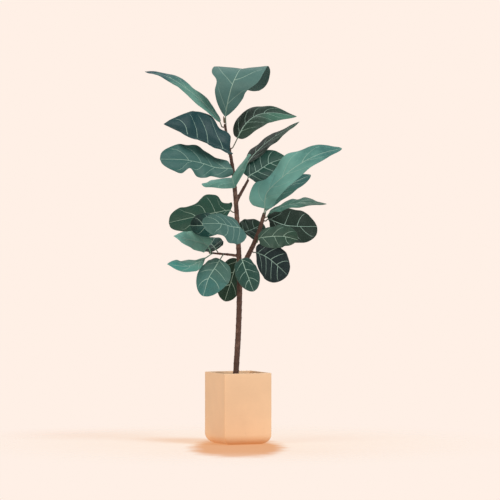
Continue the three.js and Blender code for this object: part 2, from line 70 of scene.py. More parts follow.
MM = 0.001
CAD_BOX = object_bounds()
LEAF_NAMES = sorted(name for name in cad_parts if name.startswith("leaf_"))


# ---------------------------------------------------------------- settings


def length_setting(name, description, millimetres):
    return bpy.props.FloatProperty(
        name=name, description=description, default=millimetres * MM, unit="LENGTH")


def angle_setting(name, description, degrees):
    return bpy.props.FloatProperty(
        name=name, description=description, default=math.radians(degrees), subtype="ANGLE")


def colour_setting(name, description, *shares):
    return bpy.props.FloatVectorProperty(
        name=name, description=description, default=shares, subtype="COLOR")


class LeafSettings(bpy.types.PropertyGroup):
    """Sizes and colours that all the leaves share."""

    thickness: length_setting("Thickness", "Of the blade at the midrib", 0.9)
    edge: length_setting("Edge", "Thickness of the blade at its margin", 0.5)
    quilting: length_setting("Quilting", "How far the blade bulges between its veins", 1.5)
    ruffle: length_setting("Ruffle", "Height of the small waves along the margin", 2.2)
    stalk: length_setting("Stalk", "Radius of the leaf stalk", 2.6)
    midrib_tip: length_setting("Midrib tip", "Radius of the midrib at the leaf's tip", 0.5)
    vein: colour_setting("Vein", "Colour of the veins on the upper side", 0.36, 0.52, 0.43)
    gloss: bpy.props.FloatProperty(
        name="Roughness", description="Of the upper side", default=0.46, subtype="FACTOR")


class StemSettings(bpy.types.PropertyGroup):
    """Sizes and colours of the trunk and branches."""

    voxel: length_setting("Detail", "Grain of the surface that is worked", 2.2)
    scar_spacing: length_setting("Scar spacing", "Between the rings left by old leaves", 36)
    scar_height: length_setting("Scar height", "How far the rings stand out", 0.9)
    bark: colour_setting("Bark", "Main colour of the bark", 0.115, 0.060, 0.044)
    bark_dark: colour_setting("Dark bark", "Colour in the cracks", 0.050, 0.028, 0.022)
    bark_pale: colour_setting("Pale bark", "Colour of the raised grain", 0.21, 0.125, 0.092)


class PlanterSettings(bpy.types.PropertyGroup):
    """Sizes and colours of the ceramic planter."""

    wall: length_setting("Wall", "Thickness of the sides", 9)
    floor: length_setting("Floor", "Thickness of the floor", 12)
    corner: length_setting("Corner", "Radius of the upright edges", 5)
    foot: length_setting("Foot", "Radius between the sides and the underside", 45)
    lip: length_setting("Lip", "Radius of the rim", 2.5)
    drain: length_setting("Drain", "Diameter of the drain holes", 14)
    drain_spacing: length_setting("Drain spacing", "Between neighbouring drain holes", 84)
    glaze: colour_setting("Glaze", "Colour of the glaze", 0.79, 0.53, 0.325)
    speckle: colour_setting("Speckle", "Colour of the specks in the glaze", 0.50, 0.27, 0.15)


class SoilSettings(bpy.types.PropertyGroup):
    """Sizes and colours of the potting soil."""

    clods: length_setting("Clods", "Height of the soil's lumps", 4)
    chips: bpy.props.IntProperty(
        name="Bark chips", description="Number of bark chips on the soil", default=260)
    perlite: bpy.props.IntProperty(
        name="Perlite", description="Number of perlite grains on the soil", default=90)
    dark: colour_setting("Dark soil", "Colour of damp soil", 0.021, 0.012, 0.008)
    pale: colour_setting("Pale soil", "Colour of dry soil", 0.095, 0.058, 0.038)


class StageSettings(bpy.types.PropertyGroup):
    """The camera's place and the backdrop."""

    azimuth: angle_setting("Azimuth", "Side that the camera stands on, from the front", -23.5)
    elevation: angle_setting("Elevation", "Of the camera above the level", 1.4)
    distance: length_setting("Distance", "From the camera to the tree", 20000)
    field: length_setting("Field", "Width that the view takes in at the tree", 2350)
    aim_right: length_setting("Aim right", "From the planter's middle to the view's middle", 56)
    aim_height: length_setting("Aim height", "Of the view's middle above the floor", 910)
    backdrop: colour_setting("Backdrop", "Colour of the backdrop", 1.0, 0.871, 0.791)


# The greens of the leaves, in the six hexadecimal digits of a screen colour. The leaves' own greens
# differ little: most of the difference between these greens is painted light and shade.
GREENS = {
    "mint": "86baa8",
    "silver": "72a99e",
    "sage": "5a8a7d",
    "celadon": "4c7c70",
    "dusty": "507470",
    "sea": "3d837b",
    "teal": "386a66",
    "mist": "476d67",
    "grey": "44665d",
    "olive": "3d574d",
    "leek": "3a6151",
    "lagoon": "275854",
    "pine": "204b3e",
    "moss": "284134",
    "ivy": "25453d",
    "petrol": "183e42",
    "slate": "153c4c",
    "fir": "123e35",
    "holly": "1a3a28",
    "thyme": "213229",
    "night": "13302b",
    "coal": "182729",
    "soot": "1a231e",
    "bottle": "0d3223",
    "ink": "11261a",
}

# How each leaf looks: the green of its blade, the green that it turns towards its tip, how much
# darker its left half is painted than its right, as painted shade on one half and painted light on
# the other, and how many pairs of side veins it has.
LEAF_LOOKS = {
    "leaf_crown_left": ("sage", "slate", 0, 4),
    "leaf_crown_top": ("dusty", "dusty", 0, 3),
    "leaf_upper_left": ("petrol", "petrol", 0, 4),
    "leaf_upper_left_low": ("mist", "lagoon", 0, 4),
    "leaf_upper_right": ("thyme", "leek", 0.5, 4),
    "leaf_upper_right_back": ("soot", "moss", 0.25, 4),
    "leaf_mid_right_round": ("fir", "pine", 0, 4),
    "leaf_right_long": ("silver", "teal", 0, 4),
    "leaf_right_behind": ("celadon", "lagoon", 0, 3),
    "leaf_right_narrow": ("celadon", "olive", 0, 4),
    "leaf_mid_front": ("silver", "celadon", 0, 4),
    "leaf_left_large": ("pine", "pine", 0, 4),
    "leaf_centre_front": ("mist", "grey", 0, 4),
    "leaf_left_inner": ("lagoon", "night", -0.35, 3),
    "leaf_branch_left_up": ("mint", "silver", 0, 3),
    "leaf_branch_behind": ("night", "lagoon", 0, 3),
    "leaf_branch_left_down": ("sage", "sea", 0, 3),
    "leaf_low_left_front": ("grey", "teal", 0, 3),
    "leaf_low_back": ("bottle", "bottle", 0, 3),
    "leaf_low_centre": ("ivy", "ivy", 0, 3),
    "leaf_right_low_dark": ("coal", "coal", 0, 4),
    "leaf_right_mid": ("olive", "moss", 0, 3),
    "leaf_right_large_dark": ("ink", "ink", 0, 3),
    "leaf_centre_back": ("moss", "holly", 0, 3),
}


def from_screen(hexadecimal):
    """A linear colour from its six hexadecimal digits as shown on a screen."""
    shares = [int(hexadecimal[i:i + 2], 16) / 255 for i in (0, 2, 4)]
    return [c / 12.92 if c <= 0.04045 else ((c + 0.055) / 1.055) ** 2.4 for c in shares]


# ---------------------------------------------------------------- materials


class Signal:
    """A shader socket that takes part in sums: an expression on it adds Math nodes."""

    def __init__(self, nodes, socket):
        self.nodes = nodes
        self.socket = socket

    def math(self, operation, *others):
        return self.nodes.node("ShaderNodeMath", {"operation": operation}, self, *others)

    def __add__(self, other):
        return self.math("ADD", other)

    __radd__ = __add__

    def __sub__(self, other):
        return self.math("SUBTRACT", other)

    def __rsub__(self, other):
        return self.nodes.node("ShaderNodeMath", {"operation": "SUBTRACT"}, other, self)

    def __mul__(self, other):
        return self.math("MULTIPLY", other)

    __rmul__ = __mul__

    def __truediv__(self, other):
        return self.math("DIVIDE", other)

    def __pow__(self, other):
        return self.math("POWER", other)

    def __abs__(self):
        return self.math("ABSOLUTE")

    def fraction(self):
        return self.math("FRACT")

    def most(self, other):
        return self.math("MAXIMUM", other)

    def step(self, low, high):
        """Rises smoothly from 0 at low to 1 at high, or falls where low is the greater."""
        if low > high:
            return 1 - self.step(high, low)
        settings = {"interpolation_type": "SMOOTHSTEP"}
        return self.nodes.node("ShaderNodeMapRange", settings, self, low, high)


class Nodes:
    """A node tree that grows one node at a time."""

    def __init__(self, tree):
        self.tree = tree

    def node(self, kind, settings=None, *values, out=0, **named):
        """A new node: its settings first, then its sockets in order or by name."""
        made = self.tree.nodes.new(kind)
        for key, value in (settings or {}).items():
            setattr(made, key, value)
        for index, value in enumerate(values):
            self.feed(made.inputs[index], value)
        for key, value in named.items():
            self.feed(made.inputs[key.replace("_", " ")], value)
        return Signal(self, made.outputs[out])

    def feed(self, socket, value):
        """Links a signal to a socket, or sets the socket to a number or a colour."""
        if isinstance(value, Signal):
            self.tree.links.new(value.socket, socket)
        elif socket.type == "RGBA":
            socket.default_value = (*value[:3], 1)
        else:
            socket.default_value = value


class Finish(Nodes):
    """A material under construction, round a Principled shader."""

    def __init__(self, name, roughness, **constants):
        self.material = bpy.data.materials.new(name)
        self.material.use_nodes = True
        super().__init__(self.material.node_tree)
        self.shader = self.tree.nodes["Principled BSDF"]
        self.set(Roughness=roughness, **constants)

    def set(self, **inputs):
        for key, value in inputs.items():
            self.feed(self.shader.inputs[key.replace("_", " ")], value)
        return self

    def mix(self, share, first, second):
        """Colours blended: the first where share is 0, the second where it is 1."""
        made = self.tree.nodes.new("ShaderNodeMix")
        made.data_type = "RGBA"
        sockets = [s for s in made.inputs if s.enabled]
        for socket, value in zip(sockets, (share, first, second)):
            self.feed(socket, value)
        return Signal(self, next(s for s in made.outputs if s.enabled))

    def place(self):
        """Object coordinates."""
        return self.node("ShaderNodeTexCoord", out="Object")

    def map(self, name):
        """The coordinates across and along, from a UV map."""
        both = self.node("ShaderNodeUVMap", {"uv_map": name})
        return both, self.split(both, "X"), self.split(both, "Y")

    def split(self, vector, axis):
        return self.node("ShaderNodeSeparateXYZ", None, vector, out=axis)

    def stretched(self, vector, scale):
        return self.node("ShaderNodeMapping", None, vector, Scale=scale)

    def noise(self, vector, scale, detail=3.0, roughness=0.55):
        return self.node("ShaderNodeTexNoise", None, Vector=vector, Scale=scale, Detail=detail,
                         Roughness=roughness)

    def cells(self, vector, scale, feature="F1"):
        return self.node("ShaderNodeTexVoronoi", {"feature": feature}, Vector=vector, Scale=scale)

    def bump(self, height, distance, strength=1.0):
        self.set(Normal=self.node("ShaderNodeBump", None, Strength=strength, Distance=distance,
                                  Height=height))
        return self


# Side veins leave the midrib at even steps and sweep towards the tip: a vein's place along the
# blade, as a share of its length, grows by VEIN_SWEEP from the midrib to the margin.
VEIN_SWEEP = 0.25
VEIN_BEND = 1.35
VEIN_START = 0.13
VEIN_END = 0.68
# How far the veins of the left half run ahead of the right half's, as a share of their spacing.
VEIN_OFFSET = 0.22


def vein_masks(finish, pairs, width):
    """Midrib and side veins as masks, from the blade's two UV maps."""
    _, across, along = finish.map("blade")
    _, out_m, along_m = finish.map("metres")
    aside = abs(across - 0.5) * 2
    left = across.math("LESS_THAN", 0.5)
    root = along - (aside ** VEIN_BEND) * VEIN_SWEEP
    spacing = (VEIN_END - VEIN_START) / (pairs - 1)
    count = (root - VEIN_START) / spacing + left * VEIN_OFFSET
    gap = abs(count.fraction() - 0.5) * 2
    # gap is 1 on a vein and 0 half-way between two
    length = along_m / along.most(0.02)
    off_vein = (1 - gap) * (0.5 * spacing) * length
    tapered = width * (1 - aside * 0.55)
    line = 1 - (off_vein / tapered).step(0.55, 1.0)
    in_row = count.step(-0.45, -0.4) * count.step(pairs - 0.5, pairs - 0.6)
    side = line * in_row * aside.step(0.93, 0.72)
    rib_width = (1.15 - along * 0.75) * width
    rib = 1 - (abs(out_m) / rib_width).step(0.55, 1.0)
    return rib, side


def leaf_blade(name, settings, colour, tip, lean, pairs):
    """The leathery upper side: mottled green, pale veins, a fine net, a satin surface and, by lean, painted
    shade on one half and painted light on the other.
    """
    finish = Finish(name + "_upper", settings.gloss, Specular_IOR_Level=0.2)
    flat, _, _ = finish.map("metres")
    _, share, length = finish.map("blade")
    rib, side = vein_masks(finish, pairs, 2.2 * MM)
    patches = finish.noise(flat, 11.0, 2.0)
    mottling = finish.noise(flat, 60.0, 4.0, 0.6)
    net = finish.cells(finish.stretched(flat, (1.0, 0.75, 1.0)), 150.0, "DISTANCE_TO_EDGE")
    lines = net.step(0.11, 0.02)
    towards_tip = (length + (patches - 0.5) * 0.5).step(0.35, 0.95)
    green = finish.mix(towards_tip, colour, tip)
    deep = [c * 0.72 for c in colour]
    fresh = [c * 1.22 for c in colour]
    green = finish.mix(patches.step(0.5, 0.30) * 0.35, green, deep)
    green = finish.mix(mottling.step(0.52, 0.75) * 0.30, green, fresh)
    # Painted shade and light: one half of the blade is painted darker and the other lighter, as if one half
    # were shaded and the other lit.
    if lean:
        left = share.step(0.505, 0.495) if lean > 0 else share.step(0.495, 0.505)
        dark = finish.node("ShaderNodeVectorMath", {"operation": "SCALE"}, green, Scale=1 - abs(lean))
        light = finish.node("ShaderNodeVectorMath", {"operation": "SCALE"}, green, Scale=1 + abs(lean))
        green = finish.mix(left, light, dark)
    green = finish.mix(lines * 0.05, green, settings.vein)
    margin = (abs(share - 0.5) * 2).step(0.965, 0.995)
    green = finish.mix(margin * 0.12, green, settings.vein)
    green = finish.mix(side * 0.85, green, settings.vein)
    green = finish.mix(rib * 0.90, green, settings.vein)
    finish.set(Base_Color=green)
    finish.set(Roughness=settings.gloss + (mottling - 0.5) * 0.22 + rib * 0.06)
    height = mottling * 0.25 - lines * 0.25 - side * 0.7 - rib * 0.9
    return finish.bump(height, 0.5 * MM, 0.7).material


def leaf_underside(name, colour, pairs):
    """The dull underside: a little greyer than the top, with veins that stand out."""
    pale = [c * 0.6 + w for c, w in zip(colour, (0.040, 0.056, 0.045))]
    vein = [c * 1.7 + 0.02 for c in pale]
    finish = Finish(name + "_underside", 0.68, Specular_IOR_Level=0.3)
    flat, _, _ = finish.map("metres")
    rib, side = vein_masks(finish, pairs, 1.9 * MM)
    mottling = finish.noise(flat, 70.0, 4.0, 0.6)
    net = finish.cells(flat, 170.0, "DISTANCE_TO_EDGE").step(0.12, 0.02)
    green = finish.mix(mottling, [c * 0.86 for c in pale], [c * 1.12 for c in pale])
    green = finish.mix(net * 0.30, green, vein)
    green = finish.mix(side * 0.6, green, vein)
    green = finish.mix(rib * 0.8, green, vein)
    finish.set(Base_Color=green)
    return finish.bump(net * 0.4 + side + rib + mottling * 0.2, 0.6 * MM, 0.8).material


def leaf_stalk(name, colour):
    """The stalk and midrib: green, browning towards the bark."""
    pale = [c * 0.75 + w * 0.25 for c, w in zip(colour, (0.30, 0.42, 0.24))]
    brown = (0.13, 0.075, 0.045)
    finish = Finish(name + "_stalk", 0.55)
    _, _, along = finish.map("blade")
    grain = finish.noise(finish.stretched(finish.place(), (1, 1, 0.4)), 240.0, 3.0)
    green = finish.mix(grain, [c * 0.8 for c in pale], [c * 1.15 for c in pale])
    finish.set(Base_Color=finish.mix((along + grain * 0.05).step(0.16, 0.02), green, brown))
    return finish.bump(grain, 0.3 * MM, 0.6).material


def bark(settings):
    """Brown bark: fine upright grain, cracks, pale breathing pores and darker ring scars."""
    finish = Finish("fig_bark", 0.82, Specular_IOR_Level=0.25)
    place = finish.place()
    grain = finish.noise(finish.stretched(place, (1, 1, 0.16)), 420.0, 5.0, 0.65)
    patches = finish.noise(place, 34.0, 3.0)
    pores = finish.cells(finish.stretched(place, (1, 1, 1.7)), 210.0)
    pore = pores.step(0.20, 0.10) * patches.step(0.46, 0.56)
    rings = finish.node("ShaderNodeTexWave", {"bands_direction": "Z", "wave_profile": "SAW"},
                        Vector=place, Scale=8.7, Distortion=2.2, Detail=2.0, Detail_Scale=3.0)
    scar = rings.step(0.90, 0.985)
    colour = finish.mix(grain.step(0.30, 0.62), settings.bark_dark, settings.bark)
    colour = finish.mix(patches.step(0.50, 0.72) * 0.6, colour, settings.bark_pale)
    colour = finish.mix(scar * 0.55, colour, settings.bark_dark)
    colour = finish.mix(pore * 0.7, colour, [c * 1.5 for c in settings.bark_pale])
    finish.set(Base_Color=colour, Roughness=0.74 + grain * 0.18)
    return finish.bump(grain + pore * 0.5 - scar * 0.6, 0.9 * MM, 0.9).material


def bud_sheath():
    """Papery brown sheath with fine lengthwise ribs."""
    finish = Finish("bud_sheath", 0.6)
    place = finish.place()
    ribs = finish.noise(finish.stretched(place, (1, 1, 0.12)), 700.0, 3.0)
    colour = finish.mix(ribs.step(0.35, 0.65), (0.075, 0.052, 0.028), (0.20, 0.14, 0.062))
    finish.set(Base_Color=colour)
    return finish.bump(ribs, 0.4 * MM, 0.8).material


def ceramic(settings):
    """Matte glaze in warm sand: soft clouds of tone, fine specks and a faint dimpled surface."""
    finish = Finish("planter_glaze", 0.48, Specular_IOR_Level=0.4)
    place = finish.place()
    clouds = finish.noise(place, 5.5, 3.0)
    fine = finish.noise(place, 130.0, 4.0, 0.6)
    specks = finish.cells(place, 95.0)
    size = finish.noise(place, 40.0, 1.0)
    speck = (specks + (size - 0.5) * 0.25).step(0.085, 0.05)
    glaze = list(settings.glaze)
    colour = finish.mix(clouds.step(0.30, 0.70), [c * 0.955 for c in glaze], [c * 1.035 for c in glaze])
    colour = finish.mix(fine.step(0.45, 0.75) * 0.10, colour, [min(c * 1.15, 0.95) for c in glaze])
    colour = finish.mix(speck * 0.55, colour, settings.speckle)
    finish.set(Base_Color=colour, Roughness=0.44 + (fine - 0.5) * 0.2 + speck * 0.2)
    return finish.bump(fine * 0.6 + clouds - speck * 0.5, 0.35 * MM, 0.6).material


def soil_crumb(settings):
    """Damp dark soil with drier crumbs."""
    finish = Finish("potting_soil", 0.95, Specular_IOR_Level=0.2)
    place = finish.place()
    crumbs = finish.cells(place, 210.0)
    damp = finish.noise(place, 26.0, 4.0)
    dust = finish.noise(place, 500.0, 3.0)
    dry = (damp + crumbs * 0.3).step(0.50, 0.85)
    finish.set(Base_Color=finish.mix(dry * 0.8 + dust * 0.2, settings.dark, settings.pale))
    return finish.bump(dust * 0.4 - crumbs, 2.0 * MM, 1.0).material


def plain_grain(name, low, high, roughness, scale):
    """A grainy finish between two colours, for chips and perlite."""
    finish = Finish(name, roughness, Specular_IOR_Level=0.25)
    grain = finish.noise(finish.place(), scale, 4.0, 0.6)
    finish.set(Base_Color=finish.mix(grain.step(0.35, 0.65), low, high))
    return finish.bump(grain, 0.5 * MM, 0.8).material


# ---------------------------------------------------------------- shared modelling


def piece(name, bm, materials, replaced=None):
    """Makes the finished object of a mesh: smooth, named, in its slot and riding on the frame."""
    mesh = bpy.data.meshes.new(name)
    bm.to_mesh(mesh)
    bm.free()
    made = bpy.data.objects.new(name, mesh)
    bpy.context.scene.collection.objects.link(made)
    for material in materials:
        mesh.materials.append(material)
    mesh.shade_smooth()
    if replaced:
        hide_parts(replaced)
    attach(made, "root")
    return made


def merged_copy(node):
    """A frame node's mesh with its doubled corners joined."""
    bm = bmesh.new()
    bm.from_mesh(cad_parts[node].data)
    bmesh.ops.remove_doubles(bm, verts=bm.verts, dist=0.01 * MM)
    return bm


def close_up(bm, apart=0.0005 * MM):
    """Joins a sheet's seams and gathers its ends to points, with the faces turned outwards."""
    bmesh.ops.remove_doubles(bm, verts=bm.verts, dist=apart)
    bmesh.ops.dissolve_degenerate(bm, edges=bm.edges, dist=apart)
    bmesh.ops.recalc_face_normals(bm, faces=bm.faces)


def wrapped_sheet(columns, rows, point, coordinates, material_at=None):
    """A closed skin from a grid whose columns go round and whose rows go along.

    point(column, row) places a corner. coordinates maps a UV map's name to a function of the same
    two, and material_at(column) gives the material of the strip that starts there.
    """
    bm = bmesh.new()
    layers = {name: bm.loops.layers.uv.new(name) for name in coordinates}
    bmesh.ops.create_grid(bm, x_segments=columns, y_segments=rows, size=1)
    where = {}
    for vertex in bm.verts:
        column = round((vertex.co.x + 1) / 2 * columns)
        row = round((vertex.co.y + 1) / 2 * rows)
        where[vertex] = (column, row)
    for face in bm.faces:
        for loop in face.loops:
            for name, layer in layers.items():
                loop[layer].uv = coordinates[name](*where[loop.vert])
        if material_at:
            face.material_index = material_at(min(where[v][0] for v in face.verts))
    for vertex, (column, row) in where.items():
        vertex.co = point(column, row)
    close_up(bm)
    return bm


def spline_weights(places, count):
    """For each place from 0 to count - 1, the shares of count points in a smooth curve there.

    The curve runs through every point, and carries on straight past its two ends.
    """
    weights = np.zeros((len(places), count))
    for i, place in enumerate(places):
        first = min(int(place), count - 2)
        t = place - first
        shares = (
            (-t + 2 * t ** 2 - t ** 3) / 2,
            (2 - 5 * t ** 2 + 3 * t ** 3) / 2,
            (t + 4 * t ** 2 - 3 * t ** 3) / 2,
            (-t ** 2 + t ** 3) / 2,
        )
        for step, share in zip((-1, 0, 1, 2), shares):
            index = first + step
            if index < 0:
                weights[i, 0] += 2 * share
                weights[i, 1] -= share
            elif index >= count:
                weights[i, count - 1] += 2 * share
                weights[i, count - 2] -= share
            else:
                weights[i, index] += share
    return weights


# ---------------------------------------------------------------- leaves

# A leaf's solid in the frame is a tube of rings: round ones along the stalk, then flat ones along
# the blade. A ring's corners run from the middle of the upper side to the right rim, the middle of
# the underside and the left rim.
LEAF_SIDES = 12
STALK_RINGS = 4
RIGHT_RIM = 3
UNDER = 6
LEFT_RIM = 9
# Where the corners from the midrib to a rim lie, as shares of the half's width.
ACROSS = (-1, -0.72, -0.36, 0, 0.36, 0.72, 1)
# The corners above and below each of those places, from the left rim to the right.
UPPER_CORNERS = (9, 10, 11, 0, 1, 2, 3)
UNDER_CORNERS = (9, 8, 7, 6, 5, 4, 3)


def unordered_rings(bm):
    """The rings of a leaf's solid from one of its two ends to the other, each walked round."""
    layer = {next(v for v in bm.verts if len(v.link_edges) == LEAF_SIDES)}
    seen = set(layer)
    rings = []
    while len(seen) < len(bm.verts) - 1:
        layer = {e.other_vert(v) for v in layer for e in v.link_edges} - seen
        if len(layer) != LEAF_SIDES:
            raise ValueError(f"a leaf's ring has {len(layer)} corners")
        seen |= layer
        beside = {v: [n for e in v.link_edges if (n := e.other_vert(v)) in layer] for v in layer}
        ring = [min(layer, key=lambda v: v.index)]
        while len(ring) < LEAF_SIDES:
            onwards = [v for v in beside[ring[-1]] if v not in ring]
            ring.append(min(onwards, key=lambda v: len(beside[v])))
        rings.append(np.array([v.co for v in ring]))
    return rings


def roundness(ring):
    reach = np.linalg.norm(ring - ring.mean(axis=0), axis=1)
    return reach.min() / reach.max()


def nearest_order(ring, like):
    """The ring started and walked so that its corners lie nearest another ring's."""
    orders = [np.roll(walk, shift, axis=0) for walk in (ring, ring[::-1]) for shift in range(LEAF_SIDES)]
    return min(orders, key=lambda order: ((order - like) ** 2).sum())


def leaf_rings(node):
    """The rings of a leaf's solid from the stalk's foot to the tip, each from its upper middle."""
    bm = merged_copy(node)
    bm.verts.index_update()
    rings = unordered_rings(bm)
    bm.free()
    if roundness(rings[0]) < roundness(rings[-1]):
        rings.reverse()
    middle = len(rings) // 2
    spans = [np.linalg.norm(rings[middle][i] - rings[middle][i + UNDER]) for i in range(UNDER)]
    rings[middle] = np.roll(rings[middle], RIGHT_RIM - int(np.argmax(spans)), axis=0)
    for i in range(middle + 1, len(rings)):
        rings[i] = nearest_order(rings[i], rings[i - 1])
    for i in range(middle - 1, -1, -1):
        rings[i] = nearest_order(rings[i], rings[i + 1])

    def keel(centre, beside):
        blades = rings[STALK_RINGS:]
        return sum(np.linalg.norm(r[centre] - (r[centre - 1] + r[beside]) / 2) for r in blades)

    if keel(0, 1) > keel(UNDER, UNDER + 1):
        flipped = [(UNDER - side) % LEAF_SIDES for side in range(LEAF_SIDES)]
        rings = [r[flipped] for r in rings]
    upper = rings[middle][0] - rings[middle][UNDER]
    onwards = rings[middle + 1].mean(axis=0) - rings[middle - 1].mean(axis=0)
    if np.dot(rings[middle][RIGHT_RIM] - rings[middle][LEFT_RIM], np.cross(onwards, upper)) < 0:
        mirrored = [-side % LEAF_SIDES for side in range(LEAF_SIDES)]
        rings = [r[mirrored] for r in rings]
    return rings


def unit(vectors):
    return vectors / np.linalg.norm(vectors, axis=-1, keepdims=True)


class Blade:
    """A leaf's blade as a smooth sheet through the corners of its solid."""

    GRAIN = 3.4 * MM  # of the mesh
    SOLID_THICKNESS = 1.7 * MM  # at the midrib of the frame's solid

    def __init__(self, rings):
        flat = rings[STALK_RINGS:]
        rows = []
        for ring in flat:
            row = (ring[list(UPPER_CORNERS)] + ring[list(UNDER_CORNERS)]) / 2
            row[3] = ring[0] - unit(ring[0] - ring[UNDER]) * self.SOLID_THICKNESS / 2
            rows.append(row)
        first_step = rows[1][3] - rows[0][3]
        base = np.tile(rows[0][3] - first_step / 3, (len(ACROSS), 1))
        tip = rows[-1][3] + (rows[-1] - rows[-1][3]) * 0.2 + unit(rows[-1][3] - rows[-2][3]) * 1.5 * MM
        self.control = np.array([base, *rows[:-1], tip])
        self.spans = len(self.control) - 1
        self.length = sum(np.linalg.norm(b[3] - a[3]) for a, b in zip(self.control, self.control[1:]))
        width = max(np.linalg.norm(np.diff(row, axis=0), axis=1).sum() for row in self.control)
        self.rows = max(40, math.ceil(self.length / self.GRAIN * 1.15))
        self.columns = 2 * max(12, math.ceil(width / self.GRAIN / 2))

    def sampled(self):
        """Points of the sheet, each point's place across (-1 to 1) and each row's place along."""
        steps = np.linspace(0, 1, self.rows + 1)
        along = spline_weights(steps * self.spans, self.spans + 1)
        across = spline_weights(np.linspace(0, 6, self.columns + 1), 7)
        points = np.einsum("ir,rck,jc->ijk", along, self.control, across)
        return points, across @ np.array(ACROSS), (1 - np.cos(math.pi * steps)) / 2


def side_vein(across, along, pairs):
    """How near each place is to a side vein: 1 on one, 0 half-way between two."""
    aside = np.abs(across)
    root = along - VEIN_SWEEP * aside ** VEIN_BEND
    spacing = (VEIN_END - VEIN_START) / (pairs - 1)
    count = (root - VEIN_START) / spacing + np.where(across < 0, VEIN_OFFSET, 0)
    return np.abs(count % 1 - 0.5) * 2


def relief(points, across, along, pairs, settings, seed):
    """Height of each place on the sheet: tissue bulging between veins, and a ruffled margin."""
    a, b = np.broadcast_arrays(across[None, :], along[:, None])
    near = side_vein(a, b, pairs)
    ends = np.sin(math.pi * b) ** 0.5
    bulge = (1 - near ** 3) * (1 - np.abs(a) ** 6) * ends * np.clip(np.abs(a) / 0.25, 0, 1)
    rib = np.exp(-(a / 0.05) ** 2)
    height = settings.quilting * (bulge - 0.6 * rib * ends)
    shift = Vector((seed * 3.7, seed * 1.3, seed * 9.1))
    for i in range(points.shape[0]):
        for j in range(points.shape[1]):
            place = Vector(points[i, j])
            margin = abs(across[j]) ** 3
            ruffle = noise.noise(place * 26 + shift) * margin + 0.35 * noise.noise(place * 14 - shift)
            height[i, j] += settings.ruffle * ruffle * ends[i, j]
    return height


def facing(points):
    """Which way the sheet faces at each of its points, towards the upper side."""
    normals = np.cross(np.gradient(points, axis=1), np.gradient(points, axis=0))
    normals[0] = normals[1]
    normals[-1] = normals[-2]
    return unit(normals)


def reach_from_midrib(points, middle):
    """How far along its row each point is from the midrib: below 0 on the left."""
    steps = np.linalg.norm(np.diff(points, axis=1), axis=2)
    reach = np.concatenate([np.zeros((len(points), 1)), np.cumsum(steps, axis=1)], axis=1)
    return reach - reach[:, middle][:, None]


def make_leaf(name, settings):
    """A leaf: its upper and under skins, which meet at the margin, and its stalk and midrib."""
    green, tip_green, lean, pairs = LEAF_LOOKS[name]
    colour = from_screen(GREENS[green])
    tip = from_screen(GREENS[tip_green])
    seed = LEAF_NAMES.index(name) + 1
    rings = leaf_rings(name)
    blade = Blade(rings)
    middle = blade.columns // 2
    points, across, along = blade.sampled()
    normals = facing(points)
    height = relief(points, across, along, pairs, settings, seed)
    skin = (settings.edge + (settings.thickness - settings.edge) * (1 - np.abs(across) ** 2)) / 2
    upper = points + normals * (height + skin)[..., None]
    under = points + normals * (height - skin)[..., None]
    upper[0] = under[0] = points[0].mean(axis=0)
    upper[-1] = under[-1] = points[-1, middle]
    reach = reach_from_midrib(points, middle)
    around = 2 * blade.columns + 2

    def corner(column):
        """Whether a column of the wrapped sheet is on the upper skin, and its place across."""
        column %= around
        if column <= blade.columns:
            return True, column
        return False, around - 1 - column

    def point(column, row):
        on_top, j = corner(column)
        return (upper if on_top else under)[row, j]

    def share(column, row):
        return (across[corner(column)[1]] / 2 + 0.5, along[row])

    def metres(column, row):
        return (reach[row, corner(column)[1]], along[row] * blade.length)

    bm = wrapped_sheet(around, blade.rows, point, {"blade": share, "metres": metres},
                       lambda column: 0 if column <= blade.columns else 1)
    add_stalk(bm, rings, points, normals, height, blade, settings)
    materials = [
        leaf_blade(name, settings, colour, tip, lean, pairs),
        leaf_underside(name, colour, pairs),
        leaf_stalk(name, colour),
    ]
    return piece(name + "_blade", bm, materials, name)


STALK_SIDES = 12
STALK_ROWS = 26
STALK_INTO_BARK = 3.0 * MM
# The stalk's radius at its foot and at each ring of its solid, as shares of its usual radius.
STALK_FLARE = (1.35, 1.25, 1.05, 1.0, 1.0)
# The midrib follows every third row of the blade.
MIDRIB_STRIDE = 3


def midrib(points, normals, height, blade, settings):
    """Centres and radii of the midrib under the blade, sunk so far that it stands out below."""
    middle = blade.columns // 2
    centres = []
    radii = []
    for row in range(2, blade.rows - 1, MIDRIB_STRIDE):
        radius = settings.stalk * (1 - row / blade.rows) ** 1.2 * 0.85 + settings.midrib_tip
        sink = settings.thickness * 0.35 + radius * 0.55
        centres.append(points[row, middle] + normals[row, middle] * (height[row, middle] - sink))
        radii.append(radius)
    return centres, radii


def untwisted(along, start, upward):
    """Directions square to a line's own, carried both ways from one at start without a twist."""
    square = [None] * len(along)
    square[start] = unit(upward - along[start] * np.dot(upward, along[start]))
    for i in (*range(start - 1, -1, -1), *range(start + 1, len(along))):
        beside = square[i + 1 if i < start else i - 1]
        square[i] = unit(beside - along[i] * np.dot(beside, along[i]))
    return square


